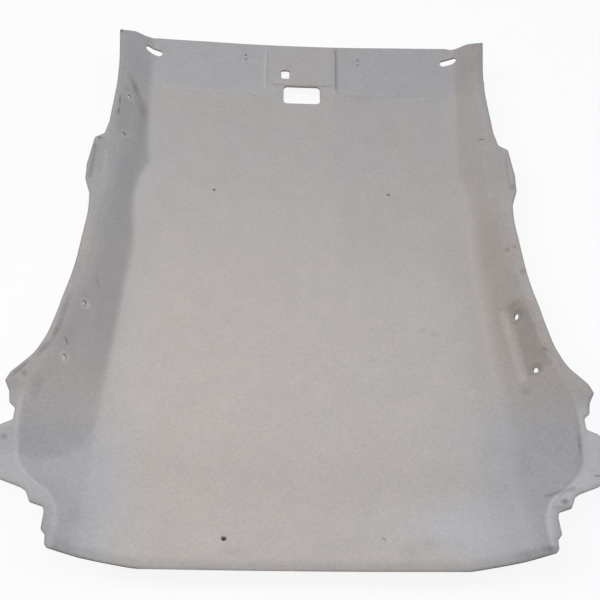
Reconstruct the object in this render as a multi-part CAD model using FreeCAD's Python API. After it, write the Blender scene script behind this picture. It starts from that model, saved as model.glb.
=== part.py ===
"""Moulded headliner panel of a small hatchback, lying on its back with the cabin face up.

The panel is one thermoformed sheet. Its cabin face is described by a height formula. Rows of
points worked out from that formula carry two smooth skins, one sheet thickness apart, which
close to a slab. The slab is trimmed to the cut outline, and the openings are pierced square to
the sheet. Millimetres: +X to the panel's right, +Y to the windscreen, +Z into the cabin.
"""
import FreeCAD, Part
import math
import os

V = FreeCAD.Vector

# Whole panel
panel_length = 1570.0
sheet = 6.0
crown_radius_across = 6500.0
crown_radius_along = 8000.0
front_edge = panel_length / 2.0
rear_edge = -panel_length / 2.0

# Half widths of the cut outline, from the windscreen to the tailgate
half_front_straight = 440.0
half_front_corner = 541.0
half_windscreen_post = 527.0
half_waist = 532.0
half_post_tab = 567.0
half_door = 540.0
half_rear_door = 562.0
half_wing_root = 594.0
half_wing_tip = 643.0
half_wing_end = half_wing_tip + 12.0
half_notch = half_wing_tip - 24.0
half_shelf = half_wing_tip - 61.0
half_rear_corner = 520.0
half_rear_edge = 326.0

# Bends of the moulding: where the roof plane turns up to the windscreen and to the tailgate
front_bend = front_edge - 135.0
front_rise = math.radians(5.7)
front_bend_round = 30.0
rear_bend = rear_edge + 138.0
rear_rise = math.radians(15.6)
rear_bend_round = 35.0

# Side walls: where they leave the roof plane, as half width at places along the panel
half_roof = half_windscreen_post - 77.0
post_front = front_edge - 405.0
post_rear = front_edge - 456.0
shoulder_line = [
    (front_edge, half_roof + 11.0),
    (front_edge - 181.0, half_roof + 6.0),
    (front_edge - 400.0, half_roof - 8.0),
    (post_rear, half_roof - 14.0),
    (284.0, half_roof - 8.0),
    (244.0, half_roof),
    (174.0, half_roof + 2.0),
    (74.0, half_roof - 9.0),
    (-136.0, half_roof - 6.0),
    (-376.0, half_roof + 1.0),
    (rear_edge, half_roof + 2.0),
]
# Rise of the walls for each millimetre outward, along the panel
wall_rise = [
    (front_edge, 0.76),
    (front_edge - 281.0, 1.0),
    (304.0, 1.15),
    (104.0, 1.15),
    (-96.0, 1.05),
    (-246.0, 0.92),
    (-346.0, 0.72),
    (-426.0, 0.55),
    (rear_edge, 0.5),
]
shoulder_round = 6.0
wall_end = rear_edge + 227.0
wall_end_rise = 0.5
wall_end_round = 25.0
# The right wall has lost its sharp shoulder behind the door post
slack_round = 24.0
slack_shift = 18.0
slack_from = 124.0
slack_fade = 60.0
slack_reach = 300.0

# Lip outside the walls: its width inside the door edge, and its course round the wing
lip_width = [
    (front_edge, 14.0),
    (front_edge - 181.0, 16.0),
    (post_front, 18.0),
    (314.0, 32.0),
    (204.0, 36.0),
    (104.0, 34.0),
    (-36.0, 34.0),
    (-136.0, 32.0),
    (-186.0, 24.0),
    (-296.0, 22.0),
    (-376.0, 24.0),
    (-436.0, 36.0),
]
wing_front = rear_edge + 349.0
wing_crest = [
    (wing_front, half_wing_tip - 37.0),
    (wing_front - 44.0, half_wing_tip - 36.0),
    (wing_front - 94.0, half_wing_tip - 39.0),
    (wing_front - 135.0, half_wing_tip - 50.0),
    (wing_front - 166.0, half_wing_tip - 77.0),
    (wing_front - 199.0, half_rear_corner + 1.0),
    (wing_front - 229.0, half_rear_corner - 18.0),
    (wing_front - 281.0, half_rear_corner - 28.0),
    (rear_edge, half_rear_corner - 30.0),
]
lip_round = 6.0
lip_rise = 0.36
flange_rise = 0.06
bank_width = 110.0
bank_rise = 0.5
bank_front = rear_edge + 319.0
bank_fade = 40.0
bank_round = 25.0
lip_end = wing_front + 40.0
lip_fade = 60.0

# Sun visor pockets and the raised pad between them
visor_rear = front_edge - 184.0
visor_depth = 4.5
visor_corner = 18.0
pad_half = 106.0
pad_rear = front_edge - 151.0
pad_raise = 1.5
step_run = 10.0

# Grab handle pockets: side, front, rear, inner half widths, ledge, depth
handle_end = 16.0
handle_slant = 0.4
rear_handle_front = -150.0
rear_handle_rear = -352.0
rear_handle_inner = (505.0, 524.0)
rear_handle_ledge = 24.0
rear_handle_depth = 17.0
front_handle_front = 562.0
front_handle_rear = 345.0
front_handle_inner = (474.0, 474.0)
front_handle_ledge = 22.0
front_handle_depth = 8.0

# Openings
lamp_width = 109.0
lamp_length = 66.0
lamp_middle = front_edge - 187.0
lamp_corner = 12.0
plug_width = 25.0
plug_length = 30.0
plug_corner = 6.0
plug_place = (-50.0, front_edge - 112.0)
pivot_place = (446.0, front_edge - 56.0)
pivot_length = 48.0
pivot_width = 19.0
pivot_corner = 0.48 * pivot_width
pivot_turn = 24.0
screw_hole = 6.0
screw_place = (240.0, 235.0)
clip_hole = 10.0
clip_place = (-162.0, rear_edge + 67.0)
handle_hole = 10.0
rear_handle_holes = [(514.0, -187.0), (537.0, -332.0)]
front_handle_holes = [(492.0, 511.0), (488.0, 361.0)]

# Spacing of the rows and strips that carry the skins, and half widths of the bends' strips
widest_row_gap = 110.0
closest_rows = 5.0
overrun = 30.0
wall_end_rows = 40.0
rear_bend_rows = (-45.0, 15.0)
foot_half = 9.0
slack_foot_half = 32.0
turn_half = 8.0
outer_reach = half_wing_end + 10.0
degree = 3
plain_strip = (0.0, 1.0)
roof_side = 400.0
halved_strip = (0.0, 0.5, 1.0)
probe = 0.5
# A rounded corner takes up at most this share of its shorter side
corner_share = 0.35
# The smoothing of the rows lifts the lowest point of the crown this far off the ground
crown_lift = 0.4


def ramp(t, rounding):
    """Zero before t = 0 and t after it, with a rounded turn between."""
    return 0.5 * (t + math.hypot(t, rounding))


def lower_of(a, b, rounding):
    """The lower of two heights, rounded where they cross."""
    return 0.5 * (a + b - math.hypot(a - b, rounding))


def ease(t):
    """Smooth change from 0 at t = 0 to 1 at t = 1."""
    t = min(max(t, 0.0), 1.0)
    return t * t * (3.0 - 2.0 * t)


def along(stations, y):
    """Value at y on a smooth curve through (y, value) stations."""
    points = sorted(stations)
    y = min(max(y, points[0][0]), points[-1][0])
    k = 0
    while k < len(points) - 2 and y > points[k + 1][0]:
        k += 1
    gaps = [b[0] - a[0] for a, b in zip(points, points[1:])]
    pitch = [(b[1] - a[1]) / g for a, b, g in zip(points, points[1:], gaps)]

    def slope(i):
        if i == 0 or i == len(gaps):
            return pitch[min(i, len(gaps) - 1)]
        return (pitch[i] * gaps[i - 1] + pitch[i - 1] * gaps[i]) / (gaps[i - 1] + gaps[i])

    t = (y - points[k][0]) / gaps[k]
    rise = points[k + 1][1] - points[k][1]
    start = gaps[k] * slope(k)
    end = gaps[k] * slope(k + 1)
    return points[k][1] + start * t + (3 * rise - 2 * start - end) * t * t \
        + (start + end - 2 * rise) * t ** 3


door_line = [
    (front_edge, half_front_corner + 3.0),
    (front_edge - 38.0, half_front_corner),
    (front_edge - 221.0, half_windscreen_post + 1.0),
    (front_edge - 355.0, half_windscreen_post - 1.0),
    (post_rear + 4.0, half_waist),
    (234.0, half_waist + 4.0),
    (104.0, half_door),
    (-66.0, half_door + 6.0),
    (-221.0, half_rear_door),
    (-288.0, half_rear_door + 13.0),
    (-336.0, half_wing_root),
    (wing_front, half_wing_tip),
]


def crest(y):
    """Half width at which the wall turns out into the lip or the wing flange."""
    if y > wing_front:
        return along(door_line, y) - along(lip_width, y)
    return along(wing_crest, y)


def slackness(x, y):
    """0 on the crisp left wall, up to 1 along the slack part of the right one."""
    return ease(x / slack_reach) / (1.0 + math.exp((y - slack_from) / slack_fade))


def pocket(half, y, front, rear, inner, ledge, depth):
    """Depth of a grab handle pocket, deepest along its inner line, fading out to the lip."""
    share = (front - y) / (front - rear)
    line = inner[0] + (inner[1] - inner[0]) * share
    reach = max(crest(y) - line, ledge)
    across = ease((half - line + ledge) / ledge) * min(max(1.0 - (half - line) / reach, 0.0), 1.0)
    slanted = y - handle_slant * (half - line)
    ends = ease((front - slanted) / handle_end) * ease((slanted - rear) / handle_end)
    return depth * across * ends


def handle_pockets(x, y):
    """Depth of the pockets: behind the right rear door, and above the left front door."""
    if x > 0:
        return pocket(x, y, rear_handle_front, rear_handle_rear,
                      rear_handle_inner, rear_handle_ledge, rear_handle_depth)
    return pocket(-x, y, front_handle_front, front_handle_rear,
                  front_handle_inner, front_handle_ledge, front_handle_depth)


def header_relief(half, y):
    """Visor pockets pressed down and the middle pad pressed up, in front of the roof plane."""
    outside = ease((half - pad_half) / step_run + 0.5)
    corner = max(visor_corner - max(half - pad_half, 0.0), 0.0)
    turned = visor_rear + corner * corner / (2.0 * visor_corner)
    sunk = ease((y - turned) / step_run + 0.5)
    raised = ease((y - pad_rear) / step_run + 0.5)
    return pad_raise * raised * (1.0 - outside) - visor_depth * sunk * outside


def roof_height(half, y):
    """The crowned roof plane with its front and rear bends."""
    crown = half * half / (2.0 * crown_radius_across) + y * y / (2.0 * crown_radius_along)
    front = math.tan(front_rise) * ramp(y - front_bend, front_bend_round)
    rear = math.tan(rear_rise) * ramp(rear_bend - y, rear_bend_round)
    return crown + front + rear


def moulding(x, y):
    """Height of the cabin face without its local reliefs."""
    half = abs(x)
    slack = slackness(x, y)
    turn = crest(y)
    beyond = ramp(half - turn, lip_round)
    inside = half - beyond
    shoulder = along(shoulder_line, y)
    foot = shoulder + slack_shift * slack
    steep = along(wall_rise, y) * (turn - shoulder) / (turn - foot)
    wall = lower_of(steep * (inside - foot), wall_end_rise * (y - wall_end),
                    wall_end_round * (1.0 + slack))
    wall = ramp(wall, shoulder_round + slack_round * slack)
    rearward = 1.0 / (1.0 + math.exp((y - bank_front) / bank_fade))
    bank = bank_rise * ramp(inside - turn + bank_width, bank_round) ** 2 / (2.0 * bank_width)
    lip = lip_rise + (flange_rise - lip_rise) * ease((lip_end - y) / lip_fade)
    return sheet + roof_height(inside, y) + wall + rearward * bank + lip * beyond


def height(x, y):
    """Height of the cabin face."""
    return moulding(x, y) + header_relief(abs(x), y) - handle_pockets(x, y)


def slope_across(face, x, y):
    return (face(x + probe, y) - face(x - probe, y)) / (2.0 * probe)


def square_to(x, y):
    """Direction square to the moulding, out of its cabin face."""
    along_y = (moulding(x, y + probe) - moulding(x, y - probe)) / (2.0 * probe)
    return V(-slope_across(moulding, x, y), -along_y, 1.0).normalize()


def spread(lines, widest):
    """The given lines, with evenly spaced ones added wherever a gap is wider than allowed."""
    kept = []
    for line in sorted(lines):
        if not kept or line - kept[-1] >= closest_rows:
            kept.append(line)
    filled = [kept[0]]
    for a, b in zip(kept, kept[1:]):
        parts = math.ceil((b - a) / widest)
        filled += [a + (b - a) * k / parts for k in range(1, parts + 1)]
    return filled


def rows():
    """Places along the panel where the skins have a row of points."""
    lines = [rear_edge - overrun, front_edge + overrun]
    for step in (visor_rear, pad_rear):
        lines += [step + step_run * k for k in (-0.6, 0.0, 0.6)]
    for front, rear in ((rear_handle_front, rear_handle_rear),
                        (front_handle_front, front_handle_rear)):
        lines += [front, rear]
    lines += [wall_end + wall_end_rows * k for k in range(-1, 3)]
    lines += [rear_bend + place for place in rear_bend_rows]
    return spread(lines, widest_row_gap)


def strips(x_side, y):
    """Strips from the middle to beyond the lip, each as a list of half widths."""
    slack = slackness(x_side * slack_reach, y)
    turn = crest(y)
    foot = along(shoulder_line, y) + slack_shift * slack
    foot_reach = min(foot_half + slack_foot_half * slack, 0.3 * (turn - foot))
    turn_reach = min(turn_half, 0.2 * (turn - foot))
    pad_in = pad_half - 0.5 * step_run
    pad_out = pad_half + 0.5 * step_run
    floor_end = foot - foot_reach
    wall_start = foot + foot_reach
    wall_stop = turn - turn_reach
    return [
        (0.0, pad_in, plain_strip),
        (pad_in, pad_out, plain_strip),
        (pad_out, roof_side, halved_strip),
        (roof_side, floor_end, plain_strip),
        (floor_end, wall_start, plain_strip),
        (wall_start, wall_stop, halved_strip),
        (wall_stop, turn + turn_reach, plain_strip),
        (turn + turn_reach, outer_reach, plain_strip),
    ]


def pole_places(breaks):
    """Places of the control points that keep an evenly paced surface between the breaks."""
    padded = [breaks[0]] * degree + list(breaks) + [breaks[-1]] * degree
    count = len(breaks) + degree - 1
    return [sum(padded[k + 1:k + 1 + degree]) / degree for k in range(count)]


def row_poles(strip, side, y, depth):
    """Control points of one strip in one row, tangent to the face at both ends."""
    start, end, breaks = strip
    shares = pole_places(breaks)
    poles = []
    for k, share in enumerate(shares):
        half = start + (end - start) * share
        anchor = half
        if k == 1:
            anchor = start
        if k == len(shares) - 2:
            anchor = end
        rise = slope_across(height, side * anchor, y) * side * (half - anchor)
        point = V(side * half, y, height(side * anchor, y) + rise)
        poles.append(point - square_to(side * anchor, y) * depth)
    return poles


def multiplicities(breaks):
    return [degree + 1] + [1] * (len(breaks) - 2) + [degree + 1]


def side_surfaces(side, depth):
    """Smooth surfaces of one half of one skin, from the middle outward."""
    places = rows()
    layout = [strips(side, y) for y in pole_places(places)]
    surfaces = []
    for number in range(len(layout[0])):
        breaks = layout[0][number][2]
        nets = [row_poles(strip[number], side, y, depth)
                for strip, y in zip(layout, pole_places(places))]
        surface = Part.BSplineSurface()
        surface.buildFromPolesMultsKnots([list(column) for column in zip(*nets)],
                                         multiplicities(breaks), multiplicities(places),
                                         list(breaks), places, False, False, degree, degree)
        surfaces.append(surface)
    return surfaces


def half_slab(side):
    """Upper and lower faces of one half, with the rim that joins them outside."""
    upper = side_surfaces(side, 0.0)
    lower = side_surfaces(side, sheet)
    faces = [surface.toShape() for surface in upper + lower]
    for top, bottom in zip(upper, lower):
        first, last = top.bounds()[2:]
        faces.append(Part.makeRuledSurface(top.vIso(first).toShape(), bottom.vIso(first).toShape()))
        faces.append(Part.makeRuledSurface(top.vIso(last).toShape(), bottom.vIso(last).toShape()))
    outer = upper[-1].bounds()[1]
    faces.append(Part.makeRuledSurface(upper[-1].uIso(outer).toShape(),
                                       lower[-1].uIso(outer).toShape()))
    return faces


def slab():
    """Both skins joined by their rim into one solid."""
    shell = Part.makeShell(half_slab(-1.0) + half_slab(1.0))
    shell.sewShape()
    solid = Part.makeSolid(shell)
    if solid.Volume < 0:
        solid.reverse()
    return solid


def rounded(points):
    """Closed wire through (x, y, radius) corners, each with a tangent arc of that radius."""
    count = len(points)
    edges = []
    starts = []
    ends = []
    middles = []
    for k in range(count):
        before = V(points[k - 1][0], points[k - 1][1], 0)
        here = V(points[k][0], points[k][1], 0)
        after = V(points[(k + 1) % count][0], points[(k + 1) % count][1], 0)
        back = before - here
        ahead = after - here
        turn = math.pi - back.getAngle(ahead)
        room = corner_share * min(back.Length, ahead.Length)
        reach = min(points[k][2] * math.tan(turn / 2.0), room)
        radius = reach / math.tan(turn / 2.0)
        back = back.normalize()
        ahead = ahead.normalize()
        starts.append(here + back * reach)
        ends.append(here + ahead * reach)
        bisector = (back + ahead).normalize()
        middles.append(here + bisector * (radius / math.cos(turn / 2.0) - radius))
    for k in range(count):
        edges.append(Part.LineSegment(ends[k - 1], starts[k]).toShape())
        edges.append(Part.Arc(starts[k], middles[k], ends[k]).toShape())
    return Part.Wire(edges)


def half_outline():
    """Corners of the cut edge on the right half, from the windscreen to the tailgate."""
    return [
        (half_front_straight - 170.0, front_edge, 900.0),
        (half_front_straight, front_edge - 4.0, 60.0),
        (half_front_straight + 35.0, front_edge - 14.0, 20.0),
        (half_front_straight + 60.0, front_edge - 18.0, 30.0),
        (half_front_corner - 11.0, front_edge - 37.0, 40.0),
        (half_front_corner, front_edge - 38.0, 4.0),
        (half_windscreen_post + 6.0, front_edge - 135.0, 500.0),
        (half_windscreen_post, front_edge - 225.0, 600.0),
        (half_windscreen_post - 1.0, post_front, 120.0),
        (half_waist, post_rear + 4.0, 18.0),
        (half_post_tab - 12.0, post_rear - 16.0, 8.0),
        (half_post_tab, 236.0, 60.0),
        (half_post_tab - 3.0, 186.0, 25.0),
        (half_door + 7.0, 140.0, 60.0),
        (half_door - 1.0, 78.0, 400.0),
        (half_door + 6.0, -70.0, 900.0),
        (half_rear_door, -225.0, 500.0),
        (half_rear_door + 13.0, -292.0, 250.0),
        (half_wing_root, -342.0, 120.0),
        (half_wing_tip - 10.0, wing_front + 49.0, 30.0),
        (half_wing_tip, wing_front + 28.0, 5.0),
        (half_notch + 15.0, wing_front + 9.0, 6.0),
        (half_notch + 13.0, wing_front - 13.0, 6.0),
        (half_notch, wing_front - 24.0, 6.0),
        (half_notch + 1.0, wing_front - 48.0, 7.0),
        (half_wing_tip - 2.0, wing_front - 57.0, 8.0),
        (half_wing_end, wing_front - 68.0, 12.0),
        (half_wing_end - 1.0, wing_front - 152.0, 14.0),
        (half_wing_tip - 18.0, wing_front - 173.0, 20.0),
        (half_shelf, wing_front - 188.0, 8.0),
        (half_shelf - 12.0, wing_front - 195.0, 12.0),
        (half_shelf - 25.0, wing_front - 219.0, 10.0),
        (half_rear_corner + 8.0, wing_front - 228.0, 8.0),
        (half_rear_corner + 3.0, wing_front - 241.0, 8.0),
        (half_rear_corner, wing_front - 277.0, 5.0),
        (half_rear_corner - 11.0, wing_front - 289.0, 5.0),
        (half_rear_corner - 15.0, wing_front - 309.0, 5.0),
        (half_rear_corner - 22.0, wing_front - 316.0, 8.0),
        (half_rear_corner - 80.0, rear_edge + 20.0, 250.0),
        (half_rear_edge, rear_edge + 1.0, 300.0),
        (half_rear_edge - 200.0, rear_edge, 900.0),
    ]


def outline_prism():
    right = half_outline()
    left = [(-x, y, r) for x, y, r in reversed(right)]
    face = Part.Face(rounded(right + left))
    face.translate(V(0, 0, -100.0))
    return face.extrude(V(0, 0, 400.0))


def pierce(x, y, width, length, corner, turn=0.0):
    """Cutter for a rounded opening, square to the sheet at its middle."""
    w = width / 2.0
    h = length / 2.0
    wire = rounded([(w, h, corner), (-w, h, corner), (-w, -h, corner), (w, -h, corner)])
    tool = Part.Face(wire).extrude(V(0, 0, 6.0 * sheet))
    tool.translate(V(0, 0, -3.5 * sheet))
    tool.rotate(V(0, 0, 0), V(0, 0, 1), turn)
    return set_square(tool, x, y)


def drill(x, y, diameter):
    """Cutter for a round hole, square to the sheet."""
    tool = Part.makeCylinder(diameter / 2.0, 6.0 * sheet, V(0, 0, -3.5 * sheet))
    return set_square(tool, x, y)


def set_square(tool, x, y):
    tilt = FreeCAD.Rotation(V(0, 0, 1), square_to(x, y))
    tool.Placement = FreeCAD.Placement(V(x, y, height(x, y)), tilt).multiply(tool.Placement)
    return tool


def cutters():
    tools = [
        pierce(0.0, lamp_middle, lamp_width, lamp_length, lamp_corner),
        pierce(plug_place[0], plug_place[1], plug_width, plug_length, plug_corner),
        drill(clip_place[0], clip_place[1], clip_hole),
    ]
    for side in (-1.0, 1.0):
        tools.append(pierce(side * pivot_place[0], pivot_place[1], pivot_length, pivot_width,
                            pivot_corner, side * pivot_turn))
        tools.append(drill(side * screw_place[0], screw_place[1], screw_hole))
        tools += [drill(side * x, y, handle_hole) for x, y in rear_handle_holes]
    tools += [drill(-x, y, handle_hole) for x, y in front_handle_holes]
    return tools


def headliner_panel():
    panel = slab().common(outline_prism())
    panel = panel.cut(Part.makeCompound(cutters())).Solids[0]
    panel.translate(V(0, 0, -crown_lift))
    return panel


os.makedirs("parts", exist_ok=True)
panel = headliner_panel()
panel.exportStep("parts/headliner_panel.step")
print("headliner_panel", panel.isValid(), round(panel.Volume / 1000.0), "cm3")
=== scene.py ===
"""Car headliner panel, dressed: knit fabric on the cabin face, cloth on the back, a cut edge.

The panel is one moulded sheet, so it is one fine mesh. A height formula gives its cabin face in
millimetres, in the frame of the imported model, and the mesh is built from it in metres.
"""
import bpy
import math
import numpy as np
from mathutils import Matrix, Vector
from mathutils.geometry import delaunay_2d_cdt

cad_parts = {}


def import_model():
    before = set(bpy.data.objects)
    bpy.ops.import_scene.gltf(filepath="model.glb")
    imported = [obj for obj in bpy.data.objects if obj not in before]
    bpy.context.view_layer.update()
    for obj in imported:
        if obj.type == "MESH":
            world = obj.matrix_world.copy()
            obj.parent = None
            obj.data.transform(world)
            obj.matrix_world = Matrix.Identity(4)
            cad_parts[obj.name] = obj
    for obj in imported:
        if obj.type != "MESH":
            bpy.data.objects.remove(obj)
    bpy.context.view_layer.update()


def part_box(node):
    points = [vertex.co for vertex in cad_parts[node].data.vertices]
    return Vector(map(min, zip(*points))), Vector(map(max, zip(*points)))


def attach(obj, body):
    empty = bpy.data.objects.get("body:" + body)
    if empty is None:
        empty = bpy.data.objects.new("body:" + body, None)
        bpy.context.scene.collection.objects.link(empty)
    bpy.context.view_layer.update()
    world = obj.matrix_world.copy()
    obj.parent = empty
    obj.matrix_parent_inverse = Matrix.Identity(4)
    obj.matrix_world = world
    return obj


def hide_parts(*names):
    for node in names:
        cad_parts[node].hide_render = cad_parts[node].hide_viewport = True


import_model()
node = "headliner_panel"
panel_low, panel_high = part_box(node)

MM = 0.001
panel_length = round((panel_high.y - panel_low.y) / MM)
front_edge = panel_length / 2.0
rear_edge = -front_edge
sheet = 6.0
crown_lift = 0.4

# Half widths of the cut outline, from the windscreen to the tailgate
half_front_straight = 440.0
half_front_corner = 541.0
half_windscreen_post = 527.0
half_waist = 532.0
half_post_tab = 567.0
half_door = 540.0
half_rear_door = 562.0
half_wing_root = 594.0
half_wing_tip = 643.0
half_wing_end = 655.0
half_notch = 619.0
half_shelf = 582.0
half_rear_corner = 520.0
half_rear_edge = 326.0
wing_front = rear_edge + 349.0

# How much further in the left wall starts, from the post tab to the windscreen
left_front_shift = 10.0
left_front_start = 255.0
shift_run = 50.0

# Slack part of the right wall: where it ends, how softly, and how far out it is fully slack
slack_end = 124.0
slack_fade = 60.0
slack_across = 300.0

# Where the left wall stops, in front of the rear corner
end_line = -562.0

# Crown, header and tailgate bends of the roof plane
crown_across = 13000.0
crown_along = 16000.0
header_bend = math.radians(5.7)
header_line = front_edge - 135.0
header_round = 30.0
tailgate_bend = math.radians(15.6)
tailgate_line = rear_edge + 138.0
tailgate_round = 35.0

# Side walls: roundings of the crest and the foot, and how they end in front of the rear corners
crest_round = 6.0
foot_round = 4.5
slack_round = 25.5
slack_foot_shift = 18.0
wall_end = rear_edge + 227.0
wall_end_pitch = 0.5
wall_end_round = 25.0

# Bank that rises to the wing crests
bank_reach = 110.0
bank_round = 25.0
bank_pitch = 0.5
bank_line = -466.0
bank_fade = 40.0

# Lip outside the walls and the wing flange
lip_pitch = 0.36
flange_pitch = 0.06
lip_end = wing_front + 40.0
lip_fade = 60.0

# Visor pockets and the middle pad between them
middle_pad_half = 106.0
middle_pad_rear = front_edge - 151.0
middle_pad_rise = 1.5
visor_rear = front_edge - 184.0
visor_corner = 18.0
visor_depth = 4.5
step_run = 7.0
rolled_run = 45.0

# Grab handle pockets behind the rear doors: front, rear, inner line at both ends, slant of the ends
pad_front = -150.0
pad_rear = -352.0
pad_line = (505.0, 524.0)
pad_slant = 0.4
pad_ledge = 24.0
pad_end_run = 16.0
right_pad_depth = 17.0
left_pad_depth = 2.0

# Grab handle pocket by the left windscreen post
front_pad_front = 562.0
front_pad_rear = 345.0
front_pad_line = (474.0, 474.0)
front_pad_ledge = 22.0
front_pad_depth = 4.0

# Holes: screws in the roof, grab handles behind the rear doors and by the left post, rear clip
roof_screw = (240.0, 235.0)
rear_handle_holes = ((514.0, -187.0), (537.0, -332.0))
front_handle_holes = ((492.0, 511.0), (488.0, 361.0))
rear_clip_hole = (-162.0, rear_edge + 67.0)

# Spacing of the mesh points, and of those along the cut edges
point_gap = 7.2
edge_gap = 5.0
edge_roll = 4.2
edge_drop = 2.2
hole_roll = 1.2


def ramp(t, rounding):
    return 0.5 * (t + np.hypot(t, rounding))


def lower_of(a, b, rounding):
    return 0.5 * (a + b - np.hypot(a - b, rounding))


def ease(t):
    t = np.clip(t, 0.0, 1.0)
    return t * t * (3.0 - 2.0 * t)


def along(stations, y):
    """Values at y on a smooth curve through (y, value) stations."""
    places, values = np.array(sorted(stations)).T
    y = np.clip(y, places[0], places[-1])
    gaps = np.diff(places)
    pitch = np.diff(values) / gaps
    slope = np.empty(len(places))
    slope[0] = pitch[0]
    slope[-1] = pitch[-1]
    slope[1:-1] = (pitch[1:] * gaps[:-1] + pitch[:-1] * gaps[1:]) / (gaps[:-1] + gaps[1:])
    k = np.clip(np.searchsorted(places, y, side="left") - 1, 0, len(gaps) - 1)
    t = (y - places[k]) / gaps[k]
    rise = values[k + 1] - values[k]
    start = gaps[k] * slope[k]
    end = gaps[k] * slope[k + 1]
    return values[k] + start * t + (3 * rise - 2 * start - end) * t ** 2 + (start + end - 2 * rise) * t ** 3


shoulder_line = [
    (front_edge, 461.0), (front_edge - 181.0, 456.0), (front_edge - 400.0, 442.0),
    (front_edge - 456.0, 436.0), (284.0, 442.0), (244.0, 450.0), (174.0, 452.0), (74.0, 441.0),
    (-136.0, 444.0), (-376.0, 451.0), (rear_edge, 452.0),
]
wall_rise = [
    (front_edge, 0.76), (front_edge - 281.0, 1.0), (304.0, 1.15), (104.0, 1.15), (-96.0, 1.05),
    (-246.0, 0.92), (-346.0, 0.72), (-426.0, 0.55), (rear_edge, 0.5),
]
door_line = [
    (front_edge, half_front_corner + 3.0), (front_edge - 38.0, half_front_corner),
    (front_edge - 221.0, half_windscreen_post + 1.0), (front_edge - 355.0, half_windscreen_post - 1.0),
    (front_edge - 452.0, half_waist), (234.0, half_waist + 4.0), (104.0, half_door),
    (-66.0, half_door + 6.0), (-221.0, half_rear_door), (-288.0, half_rear_door + 13.0),
    (-336.0, half_wing_root), (wing_front, half_wing_tip),
]
lip_width = [
    (front_edge, 14.0), (front_edge - 181.0, 16.0), (front_edge - 405.0, 18.0), (314.0, 32.0),
    (204.0, 36.0), (104.0, 34.0), (-36.0, 34.0), (-136.0, 32.0), (-186.0, 24.0), (-296.0, 22.0),
    (-376.0, 24.0), (-436.0, 36.0),
]
wing_crest = [
    (wing_front, half_wing_tip - 37.0), (wing_front - 44.0, half_wing_tip - 36.0),
    (wing_front - 94.0, half_wing_tip - 39.0), (wing_front - 135.0, half_wing_tip - 50.0),
    (wing_front - 166.0, half_wing_tip - 77.0), (wing_front - 199.0, half_rear_corner + 1.0),
    (wing_front - 229.0, half_rear_corner - 18.0), (wing_front - 281.0, half_rear_corner - 28.0),
    (rear_edge, half_rear_corner - 30.0),
]


def crest(y):
    """Half width at which the wall turns out into the lip or the wing flange."""
    return np.where(y > wing_front, along(door_line, y) - along(lip_width, y), along(wing_crest, y))


def slackness(x, y):
    """0 on the crisp left wall, up to 1 along the slack part of the right one."""
    return ease(x / slack_across) / (1.0 + np.exp((y - slack_end) / slack_fade))


def wall_foot(x, y):
    """Half width at which the wall starts to rise, a little further in at the left front."""
    shifted = ease(-x / shift_run) * ease((y - left_front_start) / shift_run)
    return along(shoulder_line, y) - left_front_shift * shifted


def pocket(half, y, front, rear, inner, ledge, depth):
    """Depth of a grab handle pocket, deepest along its inner line."""
    share = (front - y) / (front - rear)
    line = inner[0] + (inner[1] - inner[0]) * share
    reach = np.maximum(crest(y) - line, ledge)
    across = ease((half - line + ledge) / ledge) * np.clip(1.0 - (half - line) / reach, 0.0, 1.0)
    slanted = y - pad_slant * (half - line)
    ends = ease((front - slanted) / pad_end_run) * ease((slanted - rear) / pad_end_run)
    return depth * across * ends


def handle_pockets(x, y):
    right = pocket(x, y, pad_front, pad_rear, pad_line, pad_ledge, right_pad_depth)
    left = pocket(-x, y, pad_front, pad_rear, pad_line, pad_ledge, left_pad_depth)
    left_front = pocket(-x, y, front_pad_front, front_pad_rear, front_pad_line,
                        front_pad_ledge, front_pad_depth)
    return np.where(x > 0, right, left + left_front)


def header_relief(half, y):
    """Visor pockets pressed down and the middle pad pressed up, its front rolled down to them."""
    outside = ease((half - middle_pad_half) / step_run + 0.5)
    corner = np.maximum(visor_corner - np.maximum(half - middle_pad_half, 0.0), 0.0)
    turned = visor_rear + corner * corner / (2.0 * visor_corner)
    sunk = ease((y - turned) / step_run + 0.5)
    raised = ease((y - middle_pad_rear) / step_run + 0.5)
    rolled = ease((y - front_edge + rolled_run) / rolled_run)
    middle = middle_pad_rise * raised - (middle_pad_rise + visor_depth) * rolled
    return middle * (1.0 - outside) - visor_depth * sunk * outside


def roof_height(half, y):
    crown = half * half / crown_across + y * y / crown_along
    front = math.tan(header_bend) * ramp(y - header_line, header_round)
    rear = math.tan(tailgate_bend) * ramp(tailgate_line - y, tailgate_round)
    return crown + front + rear


def moulding(x, y):
    """Height of the cabin face without its local reliefs."""
    half = np.abs(x)
    slack = slackness(x, y)
    turn = crest(y)
    beyond = ramp(half - turn, crest_round)
    inside = half - beyond
    foot = wall_foot(x, y) + slack_foot_shift * slack
    steep = along(wall_rise, y) * (turn - along(shoulder_line, y)) / (turn - foot)
    ending = wall_end_pitch * (y - wall_end)
    wall = lower_of(steep * (inside - foot), ending, wall_end_round * (1.0 + slack))
    wall = ramp(wall, foot_round + slack_round * slack)
    rearward = 1.0 / (1.0 + np.exp((y - bank_line) / bank_fade))
    climb = ramp(inside - turn + bank_reach, bank_round)
    bank = rearward * bank_pitch * climb ** 2 / (2.0 * bank_reach)
    lip = lip_pitch - (lip_pitch - flange_pitch) * ease((lip_end - y) / lip_fade)
    return sheet - crown_lift + roof_height(inside, y) + wall + bank + lip * beyond


def height(x, y):
    """Height of the cabin face, in millimetres."""
    return moulding(x, y) + header_relief(np.abs(x), y) - handle_pockets(x, y)


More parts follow.
